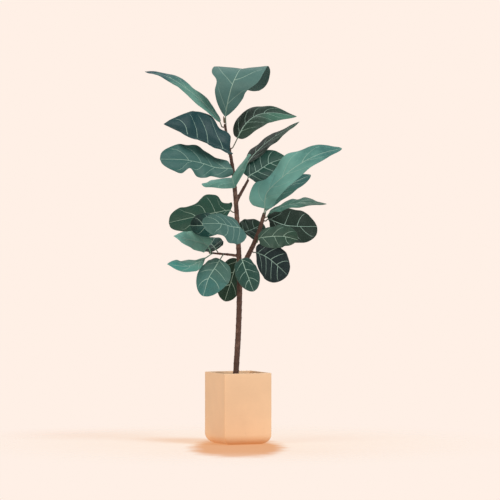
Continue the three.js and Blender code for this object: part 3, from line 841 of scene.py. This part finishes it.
def add_stalk(bm, rings, points, normals, height, blade, settings):
    """The stalk, from inside the bark, and its run under the blade as a tapering midrib."""
    centres = [ring.mean(axis=0) for ring in rings[:STALK_RINGS]]
    foot = centres[0] - unit(centres[1] - centres[0]) * STALK_INTO_BARK
    rib_centres, rib_radii = midrib(points, normals, height, blade, settings)
    path = np.array([foot, *centres, *rib_centres])
    radii = [*(settings.stalk * flare for flare in STALK_FLARE), *rib_radii]
    places = np.concatenate([
        np.linspace(0, len(centres), STALK_ROWS, endpoint=False),
        np.arange(len(centres), len(path)),
    ])
    line = spline_weights(places, len(path)) @ path
    radius = np.interp(places, range(len(path)), radii)
    radius[0] = radius[-1] = 0
    along = unit(np.gradient(line, axis=0))
    upwards = untwisted(along, STALK_ROWS, normals[2, blade.columns // 2])

    def point(column, row):
        angle = 2 * math.pi * column / STALK_SIDES
        aside = np.cross(along[row], upwards[row])
        return line[row] + radius[row] * (math.cos(angle) * upwards[row] + math.sin(angle) * aside)

    def share(column, row):
        return (column / STALK_SIDES, places[row] / places[-1])

    tube = wrapped_sheet(STALK_SIDES, len(line) - 1, point, {"blade": share, "metres": share},
                         lambda column: 2)
    mesh = bpy.data.meshes.new("stalk")
    tube.to_mesh(mesh)
    tube.free()
    bm.from_mesh(mesh)
    bpy.data.meshes.remove(mesh)


# ---------------------------------------------------------------- stem and bud


# The tree's own frame is turned in the planter by this. Its lowest limb on the left runs level, so
# its rings stand across: it is what lies left of LEVEL_LIMB_START and below LEVEL_LIMB_TOP.
TREE_TURN = math.radians(-23.5)
LEVEL_LIMB_START = -24 * MM
LEVEL_LIMB_TOP = 930 * MM


def make_stem(settings):
    """The trunk and branches: the frame's solid made fine and round, then worked as bark."""
    bm = merged_copy("stem")
    rough = bpy.data.meshes.new("stem_rough")
    bm.to_mesh(rough)
    bm.free()
    blank = bpy.data.objects.new("stem_blank", rough)
    bpy.context.scene.collection.objects.link(blank)
    remesh = blank.modifiers.new("Fine", "REMESH")
    remesh.mode = "VOXEL"
    remesh.voxel_size = settings.voxel
    fine = bpy.data.meshes.new_from_object(blank.evaluated_get(bpy.context.evaluated_depsgraph_get()))
    bpy.data.objects.remove(blank)
    bpy.data.meshes.remove(rough)
    bm = bmesh.new()
    bm.from_mesh(fine)
    bpy.data.meshes.remove(fine)
    for _ in range(6):
        bmesh.ops.smooth_vert(bm, verts=bm.verts, factor=0.5, use_axis_x=True, use_axis_y=True,
                              use_axis_z=True)
    bm.normal_update()
    turned = Matrix.Rotation(-TREE_TURN, 3, "Z")
    shifts = []
    for vertex in bm.verts:
        place = vertex.co
        own = turned @ place
        level_limb = own.x < LEVEL_LIMB_START and own.z < LEVEL_LIMB_TOP
        along = -own.x if level_limb else own.z
        wobble = noise.noise(place * 30) * 6 * MM + noise.noise(place * 8) * 10 * MM
        phase = ((along + wobble) / settings.scar_spacing) % 1
        ridge = math.exp(-((phase - 0.5) / 0.07) ** 2)
        groove = math.exp(-((phase - 0.62) / 0.05) ** 2)
        swell = 0.35 * math.exp(-((phase - 0.45) / 0.25) ** 2)
        streak = noise.noise(Vector((place.x * 260, place.y * 260, place.z * 45)))
        lump = noise.noise(place * 60)
        height = settings.scar_height * (ridge - 0.5 * groove + swell)
        height += 0.35 * MM * streak + 0.5 * MM * lump
        shifts.append(vertex.normal * (height + 0.1 * MM))
    for vertex, shift in zip(bm.verts, shifts):
        vertex.co += shift
    return piece("trunk_and_branches", bm, [bark(settings)], "stem")


BUD_PROFILE = ((0, 0), (0.55, 0.0), (0.78, 0.03), (0.95, 0.16), (1.0, 0.34), (0.93, 0.52), (0.74, 0.68),
               (0.50, 0.82), (0.27, 0.92), (0.12, 0.975), (0, 1))


def make_bud():
    """The pointed sheath at the tip: a spun profile, folded over itself, slightly bent."""
    bm = merged_copy("terminal_bud")
    ends = [v.co.copy() for v in bm.verts if len(v.link_edges) == 10]
    foot, tip = sorted(ends, key=lambda p: p.z)
    length = (tip - foot).length
    radius = max((v.co - foot).cross((tip - foot).normalized()).length for v in bm.verts)
    bm.free()
    bm = bmesh.new()
    corners = [bm.verts.new((x * radius, 0, z * length)) for x, z in BUD_PROFILE]
    edges = [bm.edges.new(pair) for pair in zip(corners, corners[1:])]
    bmesh.ops.subdivide_edges(bm, edges=edges, cuts=2)
    bmesh.ops.spin(bm, geom=bm.verts[:] + bm.edges[:], cent=(0, 0, 0), axis=(0, 0, 1), dvec=(0, 0, 0),
                   angle=2 * math.pi, steps=32, use_merge=True)
    close_up(bm)
    for vertex in bm.verts:
        turn = math.atan2(vertex.co.y, vertex.co.x)
        climb = vertex.co.z / length
        fold = ((turn / (2 * math.pi) + climb * 0.55) % 1)
        step = (0.10 * fold - 0.05) * math.sin(math.pi * min(max(climb, 0), 1))
        vertex.co.x *= 1 + step
        vertex.co.y *= 1 + step
        vertex.co.x += 0.16 * radius * math.sin(math.pi * climb)
    onto = Vector((0, 0, 1)).rotation_difference(tip - foot).to_matrix().to_4x4()
    bmesh.ops.transform(bm, matrix=Matrix.Translation(foot) @ onto, verts=bm.verts)
    return piece("bud_sheath", bm, [bud_sheath()], "terminal_bud")


# ---------------------------------------------------------------- planter and soil

CORNER_STEPS = 8
FLAT_STEPS = 12
PER_SIDE = CORNER_STEPS + FLAT_STEPS


def arc(centre, radius, start, end, steps):
    """Points of an arc in a profile, between two angles in degrees."""
    angles = [math.radians(start + (end - start) * i / steps) for i in range(steps + 1)]
    return [(centre[0] + radius * math.cos(a), centre[1] + radius * math.sin(a)) for a in angles]


def on_square(half, corner, column):
    """The place of one column on a rounded square of a half width."""
    quarter, step = divmod(column, PER_SIDE)
    corner = min(corner, half)
    flat = half - corner
    if step < FLAT_STEPS:
        x, y = half, -flat + 2 * flat * step / FLAT_STEPS
    else:
        angle = math.pi / 2 * (step - FLAT_STEPS) / CORNER_STEPS
        x, y = flat + corner * math.cos(angle), flat + corner * math.sin(angle)
    for _ in range(quarter):
        x, y = -y, x
    return x, y


def square_turned(profile, corner):
    """A profile of (half width, height) spun round, with its circles then drawn to squares."""
    bm = bmesh.new()
    points = [bm.verts.new((x, 0, z)) for x, z in profile]
    edges = [bm.edges.new(pair) for pair in zip(points, points[1:])]
    columns = 4 * PER_SIDE
    bmesh.ops.spin(bm, geom=points + edges, cent=(0, 0, 0), axis=(0, 0, 1), dvec=(0, 0, 0),
                   angle=2 * math.pi, steps=columns, use_merge=True)
    for vertex in bm.verts:
        half = math.hypot(vertex.co.x, vertex.co.y)
        turn = math.atan2(vertex.co.y, vertex.co.x) / (2 * math.pi)
        column = round(turn * columns) % columns
        vertex.co.x, vertex.co.y = on_square(half, corner, column)
    close_up(bm)
    return bm


def make_planter(settings):
    """The planter: one glazed shell with a rounded foot, a rolled lip and drain holes."""
    low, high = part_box("planter")
    half = high.x
    inner = half - settings.wall
    inner_foot = settings.foot - settings.wall
    sides = [(half, settings.foot + (high.z - settings.lip - settings.foot) * i / 12) for i in range(1, 12)]
    inner_low = settings.floor + inner_foot
    inner_high = high.z - settings.lip
    profile = [
        (0, low.z),
        ((half - settings.foot) / 2, low.z),
        *arc((half - settings.foot, settings.foot), settings.foot, -90, 0, 18),
        *sides,
        *arc((half - settings.lip, high.z - settings.lip), settings.lip, 0, 90, 6),
        *arc((inner + settings.lip, inner_high), settings.lip, 90, 180, 6),
        *[(inner, inner_high + (inner_low - inner_high) * i / 8) for i in range(1, 8)],
        *arc((inner - inner_foot, inner_low), inner_foot, 0, -90, 10),
        (0, settings.floor),
    ]
    bm = square_turned(profile, settings.corner)
    bm.normal_update()
    for vertex in bm.verts:
        upright = 1 - abs(vertex.normal.z)
        vertex.co += vertex.normal * (0.25 * MM * upright * noise.noise(vertex.co * 9))
    made = piece("glazed_planter", bm, [ceramic(settings)], "planter")
    cut_drains(made, settings)
    return made


def cut_drains(planter, settings):
    """Cuts the drain holes through the planter's floor."""
    bm = bmesh.new()
    for x in (-1, 1):
        for y in (-1, 1):
            place = Matrix.Translation((x * settings.drain_spacing / 2, y * settings.drain_spacing / 2, 0))
            bmesh.ops.create_cone(bm, cap_ends=True, segments=32, radius1=settings.drain / 2,
                                  radius2=settings.drain / 2, depth=3 * settings.floor, matrix=place)
    mesh = bpy.data.meshes.new("drains")
    bm.to_mesh(mesh)
    bm.free()
    cutter = bpy.data.objects.new("drains", mesh)
    bpy.context.scene.collection.objects.link(cutter)
    cut = planter.modifiers.new("Drains", "BOOLEAN")
    cut.object = cutter
    cut.operation = "DIFFERENCE"
    cut.solver = "EXACT"
    graph = bpy.context.evaluated_depsgraph_get()
    whole = planter.data
    planter.data = bpy.data.meshes.new_from_object(planter.evaluated_get(graph), depsgraph=graph)
    planter.modifiers.clear()
    bpy.data.meshes.remove(whole)
    bpy.data.objects.remove(cutter)


# The soil rises by MOUND from the walls to its middle. Its side has corners at the depths of
# SOIL_BAND below its edge, which is rounded off by SOIL_EASE.
MOUND = 9 * MM
SOIL_RINGS = 44
SOIL_BAND = (20 * MM, 3 * MM)
SOIL_EASE = 1 * MM
# How far the chips and grains stay from the walls and from the middle of the trunk.
CLEAR_OF_WALL = 9 * MM
CLEAR_OF_TRUNK = 20 * MM
# The trunk's middle at a height is that of its corners this far above and below.
TRUNK_BAND = 20 * MM


def soil_height(place, level, settings):
    """Where the soil's surface lies at a place: mounded, lumpy and crumbly."""
    lumps = noise.noise(place * 38) * 0.9 + noise.noise(place * 95) * 0.55 + noise.noise(place * 230) * 0.3
    return level + settings.clods * (lumps - 0.5)


def make_soil(settings):
    """The soil: a block that fills the planter, with a crumbly top."""
    low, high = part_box("potting_soil")
    planter = bpy.context.scene.fig_planter
    half = high.x
    foot = planter.foot - planter.wall
    edge = high.z - MOUND
    outwards = [1 - i / SOIL_RINGS for i in range(1, SOIL_RINGS)]
    top = [(half * share, edge + MOUND * (1 - share ** 2)) for share in outwards]
    profile = [
        (0, low.z),
        ((half - foot) / 2, low.z),
        *arc((half - foot, low.z + foot), foot, -90, 0, 10),
        *[(half, edge - depth) for depth in SOIL_BAND],
        (half - SOIL_EASE, edge),
        *top,
        (0, high.z),
    ]
    bm = square_turned(profile, planter.corner)
    for vertex in bm.verts:
        if vertex.co.z > edge - SOIL_EASE:
            flat = Vector((vertex.co.x, vertex.co.y, 0))
            vertex.co.z = soil_height(flat, vertex.co.z, settings)
    soil = piece("crumbly_soil", bm, [soil_crumb(settings)], "potting_soil")
    scatter(settings, half, edge)
    return soil


def trunk_at(height):
    """The middle of the trunk at a height."""
    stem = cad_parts["stem"].data
    near = [v.co for v in stem.vertices if abs(v.co.z - height) < TRUNK_BAND]
    middle = sum(near, Vector()) / len(near)
    return Vector((middle.x, middle.y, 0))


def scatter(settings, half, edge):
    """Bark chips and perlite grains that lie on the soil, clear of the walls and the trunk."""
    draw = random.Random(7)
    trunk = trunk_at(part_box("potting_soil")[1].z)
    kinds = (
        ("bark_chips", settings.chips, (3.5, 9.0), (0.55, 0.28),
         plain_grain("bark_chip", (0.030, 0.016, 0.010), (0.16, 0.085, 0.048), 0.85, 160.0)),
        ("perlite_grains", settings.perlite, (1.3, 2.6), (0.85, 0.75),
         plain_grain("perlite", (0.55, 0.52, 0.47), (0.80, 0.78, 0.73), 0.9, 300.0)),
    )
    for name, count, sizes, shape, material in kinds:
        bm = bmesh.new()
        made = 0
        while made < count:
            place = Vector((draw.uniform(-1, 1), draw.uniform(-1, 1), 0)) * (half - CLEAR_OF_WALL)
            if (place - trunk).length < CLEAR_OF_TRUNK:
                continue
            made += 1
            size = draw.uniform(*sizes) * MM
            grains = bmesh.ops.create_icosphere(bm, subdivisions=1, radius=size)["verts"]
            for vertex in grains:
                vertex.co *= 1 + 0.35 * noise.noise(vertex.co * 400 + Vector((made, 0, 0)))
            away = max(abs(place.x), abs(place.y)) / half
            level = soil_height(place, edge + MOUND * (1 - away ** 2), settings)
            stand = Matrix.Translation((place.x, place.y, level + size * shape[1] * 0.3))
            lean = Matrix.Rotation(draw.uniform(-0.4, 0.4), 4, "X") @ Matrix.Rotation(
                draw.uniform(-0.4, 0.4), 4, "Y")
            turn = Matrix.Rotation(draw.uniform(0, 2 * math.pi), 4, "Z")
            squeeze = Matrix.Diagonal((1, shape[0], shape[1], 1))
            bmesh.ops.transform(bm, matrix=stand @ turn @ lean @ squeeze, verts=grains)
        bmesh.ops.recalc_face_normals(bm, faces=bm.faces)
        piece(name, bm, [material])


# ---------------------------------------------------------------- stage


# Name, side in degrees from the front towards the right, rise, spread, strength and colour. A
# strength of 1 lights a white surface that faces the lamp to just white.
LIGHTS = (
    ("Key", 28, 38, 24, 0.54, (1.0, 0.99, 0.97)),
    ("Fill", -72, 14, 40, 0.40, (1.0, 0.82, 0.66)),
    ("Top", 165, 62, 30, 0.15, (1.0, 0.99, 0.97)),
)
WORLD_LIGHT = (0.50, 0.50, 0.50)
# The floor gives off the warm colour of its shadows, and reflects what its lit colour wants more.
FLOOR_GLOW = (0.748, 0.287, 0.050)
FLOOR_LIGHT = 1.07
# Round the planter a warm shade is painted on the floor: its middle, how far it reaches, and its
# colours.
SHADE_MIDDLE = (-0.12, -0.275, 0)
SHADE_REACH = (0.255, 0.75, 1)
SHADE_GLOW = (0.70, 0.30, 0.13)
SHADE_REFLECTED = (0.10, 0.12, 0.10)
FLOOR_REACH = 1.6


def make_stage(settings):
    """A pale floor that fades into the backdrop, soft lights and the camera."""
    scene = bpy.context.scene
    scene.view_settings.view_transform = "Standard"
    backdrop = tuple(settings.backdrop)
    make_floor(backdrop)
    make_world(scene, backdrop)
    toward = Vector((math.sin(settings.azimuth) * math.cos(settings.elevation),
                     -math.cos(settings.azimuth) * math.cos(settings.elevation),
                     math.sin(settings.elevation)))
    right = Vector((math.cos(settings.azimuth), math.sin(settings.azimuth), 0))
    aim = right * settings.aim_right + Vector((0, 0, settings.aim_height))
    camera = bpy.data.objects.new("Camera", bpy.data.cameras.new("Camera"))
    scene.collection.objects.link(camera)
    camera.location = aim + toward * settings.distance
    camera.rotation_euler = toward.to_track_quat("Z", "Y").to_euler()
    camera.data.lens = camera.data.sensor_width * settings.distance / settings.field
    camera.data.clip_end = 200
    scene.camera = camera
    for name, side, rise, spread, strength, colour in LIGHTS:
        level = Matrix.Rotation(math.radians(side), 3, "Z") @ Vector((0, -1, 0))
        rise = math.radians(rise)
        direction = level * math.cos(rise) + Vector((0, 0, math.sin(rise)))
        lamp = bpy.data.objects.new(name, bpy.data.lights.new(name, "SUN"))
        scene.collection.objects.link(lamp)
        lamp.data.angle = math.radians(spread)
        lamp.data.energy = strength * math.pi
        lamp.data.color = colour
        lamp.location = direction * 3
        lamp.rotation_euler = direction.to_track_quat("Z", "Y").to_euler()


def make_floor(backdrop):
    """A disc with a painted warm shade, that takes the shadows and fades out to the backdrop."""
    bm = bmesh.new()
    bmesh.ops.create_circle(bm, cap_ends=True, radius=FLOOR_REACH, segments=96)
    mesh = bpy.data.meshes.new("floor")
    bm.to_mesh(mesh)
    bm.free()
    floor = bpy.data.objects.new("floor", mesh)
    bpy.context.scene.collection.objects.link(floor)
    finish = Finish("floor", 0.95, Specular_IOR_Level=0.0)
    reflected = [(b - g) / FLOOR_LIGHT for b, g in zip(backdrop, FLOOR_GLOW)]
    place = finish.place()
    turn = (0, 0, bpy.context.scene.fig_stage.azimuth)
    own = finish.node("ShaderNodeMapping", {"vector_type": "TEXTURE"}, place, Rotation=turn,
                      Location=SHADE_MIDDLE, Scale=SHADE_REACH)
    ragged = finish.noise(place, 9.0, 2.0)
    away = finish.node("ShaderNodeVectorMath", {"operation": "LENGTH"}, own, out="Value")
    shade = (away + (ragged - 0.5) * 0.35).step(1.0, 0.62)
    finish.set(Base_Color=finish.mix(shade, reflected, SHADE_REFLECTED),
               Emission_Color=finish.mix(shade, FLOOR_GLOW, SHADE_GLOW), Emission_Strength=1.0)
    from_middle = finish.node("ShaderNodeVectorMath", {"operation": "LENGTH"}, place, out="Value")
    fade = from_middle.step(0.30 * FLOOR_REACH, 0.98 * FLOOR_REACH)
    solid = Signal(finish, finish.shader.outputs[0])
    clear = finish.node("ShaderNodeBsdfTransparent")
    blend = finish.node("ShaderNodeMixShader", None, fade, solid, clear)
    finish.feed(finish.tree.nodes["Material Output"].inputs[0], blend)
    mesh.materials.append(finish.material)
    floor.location.z = CAD_BOX[0].z - 0.2 * MM


def make_world(scene, backdrop):
    """Even light from all round, behind a backdrop of its own colour."""
    world = bpy.data.worlds.new("studio")
    scene.world = world
    world.use_nodes = True
    nodes = Nodes(world.node_tree)
    seen = nodes.node("ShaderNodeBackground", None, backdrop)
    light = nodes.node("ShaderNodeBackground", None, WORLD_LIGHT)
    from_camera = nodes.node("ShaderNodeLightPath", out="Is Camera Ray")
    blend = nodes.node("ShaderNodeMixShader", None, from_camera, light, seen)
    nodes.feed(nodes.tree.nodes["World Output"].inputs[0], blend)


# ---------------------------------------------------------------- operators and panel


class FIG_OT_planter(bpy.types.Operator):
    """Makes the glazed planter"""

    bl_idname = "fig.planter"
    bl_label = "Planter"

    def execute(self, context):
        make_planter(context.scene.fig_planter)
        return {"FINISHED"}


class FIG_OT_soil(bpy.types.Operator):
    """Makes the potting soil with its bark chips and perlite"""

    bl_idname = "fig.soil"
    bl_label = "Soil"

    def execute(self, context):
        make_soil(context.scene.fig_soil)
        return {"FINISHED"}


class FIG_OT_stem(bpy.types.Operator):
    """Makes the trunk and branches"""

    bl_idname = "fig.stem"
    bl_label = "Trunk and branches"

    def execute(self, context):
        make_stem(context.scene.fig_stem)
        return {"FINISHED"}


class FIG_OT_bud(bpy.types.Operator):
    """Makes the sheath at the tree's tip"""

    bl_idname = "fig.bud"
    bl_label = "Terminal bud"

    def execute(self, context):
        make_bud()
        return {"FINISHED"}


class FIG_OT_leaves(bpy.types.Operator):
    """Makes every leaf with its stalk"""

    bl_idname = "fig.leaves"
    bl_label = "Leaves"

    def execute(self, context):
        for name in LEAF_NAMES:
            make_leaf(name, context.scene.fig_leaves)
        return {"FINISHED"}


class FIG_OT_stage(bpy.types.Operator):
    """Sets the floor, lights and camera"""

    bl_idname = "fig.stage"
    bl_label = "Stage"

    def execute(self, context):
        make_stage(context.scene.fig_stage)
        return {"FINISHED"}


OPERATORS = (FIG_OT_stage, FIG_OT_planter, FIG_OT_soil, FIG_OT_stem, FIG_OT_bud, FIG_OT_leaves)
SETTINGS = {
    "fig_leaves": LeafSettings,
    "fig_stem": StemSettings,
    "fig_planter": PlanterSettings,
    "fig_soil": SoilSettings,
    "fig_stage": StageSettings,
}


class FIG_PT_sidebar(bpy.types.Panel):
    """Lists the pieces and their settings"""

    bl_label = "Fiddle Leaf Fig"
    bl_space_type = "VIEW_3D"
    bl_region_type = "UI"
    bl_category = "Fig"

    def draw(self, context):
        for operator in OPERATORS:
            self.layout.operator(operator.bl_idname)
        for name, group in SETTINGS.items():
            box = self.layout.box()
            box.label(text=group.__doc__)
            for key in group.__annotations__:
                box.prop(getattr(context.scene, name), key)


CLASSES = (*SETTINGS.values(), *OPERATORS, FIG_PT_sidebar)


def register():
    for each in CLASSES:
        bpy.utils.register_class(each)
    for name, group in SETTINGS.items():
        setattr(bpy.types.Scene, name, bpy.props.PointerProperty(type=group))


def unregister():
    for name in SETTINGS:
        delattr(bpy.types.Scene, name)
    for each in reversed(CLASSES):
        bpy.utils.unregister_class(each)


def main():
    register()
    for operator in OPERATORS:
        group, name = operator.bl_idname.split(".")
        getattr(getattr(bpy.ops, group), name)()


if __name__ == "__main__":
    main()
